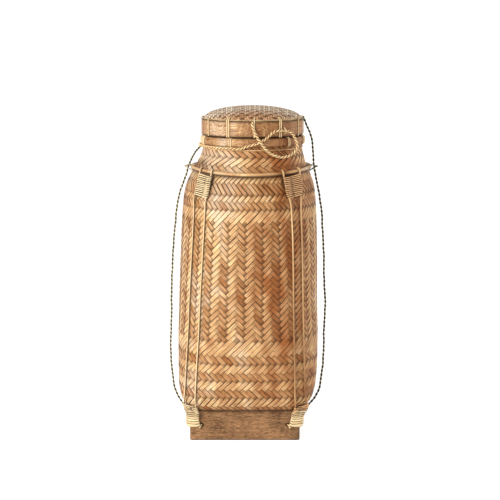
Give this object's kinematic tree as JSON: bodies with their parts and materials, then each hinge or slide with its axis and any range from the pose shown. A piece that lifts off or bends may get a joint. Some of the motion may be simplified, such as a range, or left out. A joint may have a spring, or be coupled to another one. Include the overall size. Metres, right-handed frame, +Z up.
{
  "type": "lidded storage basket",
  "caption": "Tall lidded basket of woven bamboo on a square wooden foot, with cane stays, a shoulder ring, side cords and a lid tied on by cords.",
  "frame": {"origin": "on the floor, under the centre of the basket's own bounding box", "axes": "+Z up, -Y towards the viewer of the picture, +X to that viewer's right"},
  "size_m": [0.2352, 0.2152, 0.499],
  "materials": {
    "wood_block": "dull, open grained",
    "woven_bamboo": "smoked bamboo, satin",
    "bamboo_band": "smoked bamboo, satin",
    "cane_rod": "peeled cane, satin",
    "cane_lashing": "pale split cane, satin",
    "eyelet_cane": "twisted split cane, dull",
    "dark_cord": "dark twisted plant fibre, dull",
    "light_cord": "light twisted plant fibre, dull"
  },
  "bodies": {
    "basket": {"foot_block": "wood_block", "body_shell": "woven_bamboo", "neck_hoop": "bamboo_band", "neck_collar": "bamboo_band", "shoulder_ring": "cane_rod", "neck_binding_strip": "cane_rod", "stay_front_left_a": "cane_rod", "stay_front_left_b": "cane_rod", "stay_front_right_a": "cane_rod", "stay_front_right_b": "cane_rod", "stay_back_left_a": "cane_rod", "stay_back_left_b": "cane_rod", "stay_back_right_a": "cane_rod", "stay_back_right_b": "cane_rod", "neck_lashing_1": "cane_lashing", "neck_lashing_2": "cane_lashing", "neck_lashing_3": "cane_lashing", "neck_lashing_4": "cane_lashing", "neck_lashing_5": "cane_lashing", "neck_lashing_6": "cane_lashing", "neck_lashing_7": "cane_lashing", "neck_lashing_8": "cane_lashing", "stay_lashing_front_left": "cane_lashing", "stay_lashing_front_right": "cane_lashing", "stay_lashing_back_left": "cane_lashing", "stay_lashing_back_right": "cane_lashing", "foot_lashing_front_left": "cane_lashing", "foot_lashing_front_right": "cane_lashing", "foot_lashing_back_left": "cane_lashing", "foot_lashing_back_right": "cane_lashing", "eyelet_left": "eyelet_cane", "eyelet_right": "eyelet_cane", "carry_cord_left": "dark_cord", "carry_cord_right": "dark_cord", "lid_tether_right": "dark_cord", "neck_cord": "light_cord", "lid_tether_front": "light_cord"},
    "lid": {"lid_inner_band": "bamboo_band", "lid_band": "bamboo_band", "lid_dome": "woven_bamboo", "lid_rim_strip": "cane_rod", "rim_knot": "light_cord", "loop_tie": "cane_lashing", "lid_loop": "light_cord", "lid_stitch_01": "cane_lashing", "lid_stitch_02": "cane_lashing", "lid_stitch_03": "cane_lashing", "lid_stitch_04": "cane_lashing", "lid_stitch_05": "cane_lashing", "lid_stitch_06": "cane_lashing", "lid_stitch_07": "cane_lashing", "lid_stitch_08": "cane_lashing", "lid_stitch_09": "cane_lashing", "lid_stitch_10": "cane_lashing", "lid_stitch_11": "cane_lashing", "lid_stitch_12": "cane_lashing"}
  },
  "joints": [
    {"name": "lid_lift", "type": "slide", "parent": "basket", "child": "lid", "axis": [0, 0, 1], "range_m": [0, 0.07], "deforming": ["lid_tether_right", "lid_tether_front"]}
  ]
}
